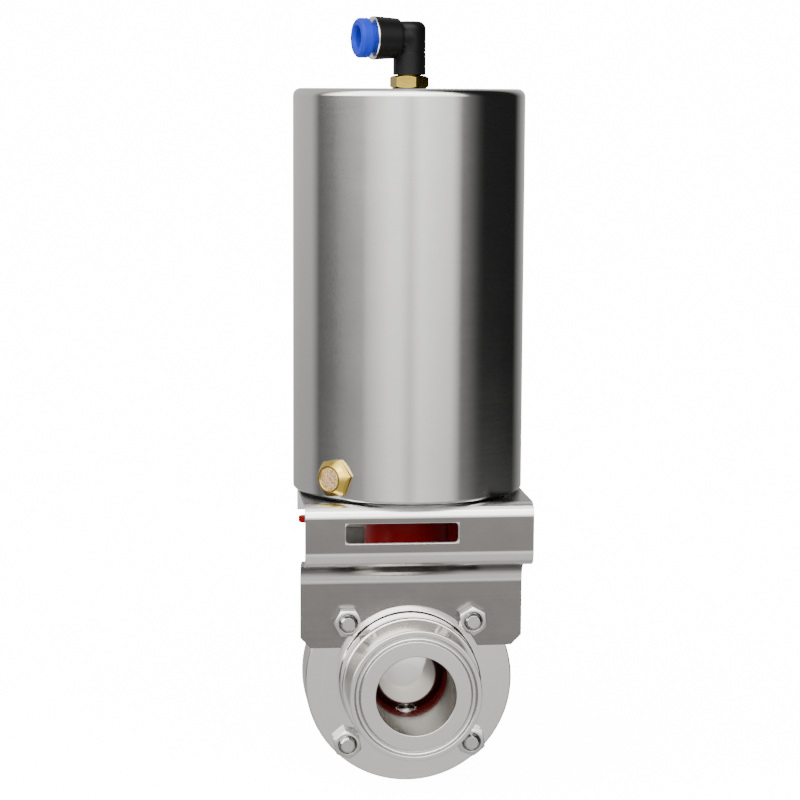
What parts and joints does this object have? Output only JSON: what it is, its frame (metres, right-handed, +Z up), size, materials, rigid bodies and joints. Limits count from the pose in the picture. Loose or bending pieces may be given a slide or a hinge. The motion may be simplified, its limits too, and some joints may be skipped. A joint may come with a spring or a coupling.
{
  "type": "pneumatic butterfly valve",
  "caption": "Hygienic butterfly valve with clamp ferrules, turned by an upright spring-return air cylinder on a two-part sheet bracket, with a red position pointer and a push-in elbow.",
  "frame": {"origin": "where the stem axis meets the flow axis, in the middle of the disc", "axes": "+Z up along the stem and the actuator; the flow axis runs along Y and the ferrule in front faces -Y; +X to the right of that ferrule"},
  "size_m": [0.0886, 0.0886, 0.2954],
  "materials": {
    "polished_steel": "ground and polished stainless steel",
    "can_steel": "deep drawn stainless steel, satin polished",
    "sheet_steel": "bent stainless sheet, brushed",
    "disc_steel": "mirror polished stainless steel",
    "fastener_steel": "stainless fastener",
    "inner_steel": "machined steel",
    "spring_steel": "spring steel",
    "base_aluminium": "machined aluminium",
    "red_silicone": "red silicone rubber",
    "black_rubber": "black rubber",
    "bearing_plastic": "white bearing plastic",
    "red_plastic": "red moulded plastic",
    "brass": "turned brass",
    "sintered": "sintered bronze",
    "black_plastic": "black moulded plastic",
    "mouth_metal": "plated metal ring",
    "blue_plastic": "blue moulded plastic"
  },
  "bodies": {
    "housing": {"front_body_half": "polished_steel", "rear_body_half": "polished_steel", "seat": "red_silicone", "upper_stem_bush": "bearing_plastic", "lower_stem_bush": "bearing_plastic", "front_bracket": "sheet_steel", "rear_bracket": "sheet_steel", "upper_body_bolts": "fastener_steel", "lower_body_bolts": "fastener_steel", "upper_body_nuts": "fastener_steel", "lower_body_nuts": "fastener_steel", "bracket_screws": "fastener_steel", "actuator_base": "base_aluminium", "actuator_cylinder": "can_steel", "retaining_ring": "spring_steel", "shaft_bearing": "bearing_plastic", "thrust_washer": "bearing_plastic", "guide_sleeve": "inner_steel", "return_spring": "spring_steel", "breather_silencer": "brass", "silencer_plug": "sintered", "elbow_stud": "brass", "swivel_seal_ring": "black_rubber"},
    "rotor": {"disc": "disc_steel", "valve_stem": "inner_steel", "stem_seal_rings": "black_rubber", "coupling": "fastener_steel", "indicator": "red_plastic", "helical_cam_shaft": "inner_steel", "shaft_circlip": "spring_steel"},
    "piston": {"piston": "base_aluminium", "piston_seal": "black_rubber", "piston_guide_ring": "bearing_plastic", "cross_pin": "inner_steel", "cam_rollers": "inner_steel", "guide_rollers": "inner_steel"},
    "elbow": {"elbow": "black_plastic", "tube_seal": "black_rubber", "mouth_ring": "mouth_metal"},
    "tube_release": {"tube_release_ring": "blue_plastic"}
  },
  "joints": [
    {"name": "stem_turn", "type": "hinge", "parent": "housing", "child": "rotor", "pos_m": [0, 0, 0], "axis": [0, 0, 1], "range_deg": [0, 90]},
    {"name": "piston_stroke", "type": "slide", "parent": "housing", "child": "piston", "axis": [0, 0, -1], "range_m": [0, 0.024], "deforming": ["return_spring"]},
    {"name": "elbow_swivel", "type": "hinge", "parent": "housing", "child": "elbow", "pos_m": [0, 0, 0.2468], "axis": [0, 0, 1], "continuous": true},
    {"name": "tube_release_press", "type": "slide", "parent": "elbow", "child": "tube_release", "axis": [0.9636, 0.2672, 0], "range_m": [0, 0.0012], "stiffness_N_per_m": 400}
  ],
  "couplings": [
    {"joint": "stem_turn", "follows": "piston_stroke", "rad_per_m": 65.45}
  ]
}
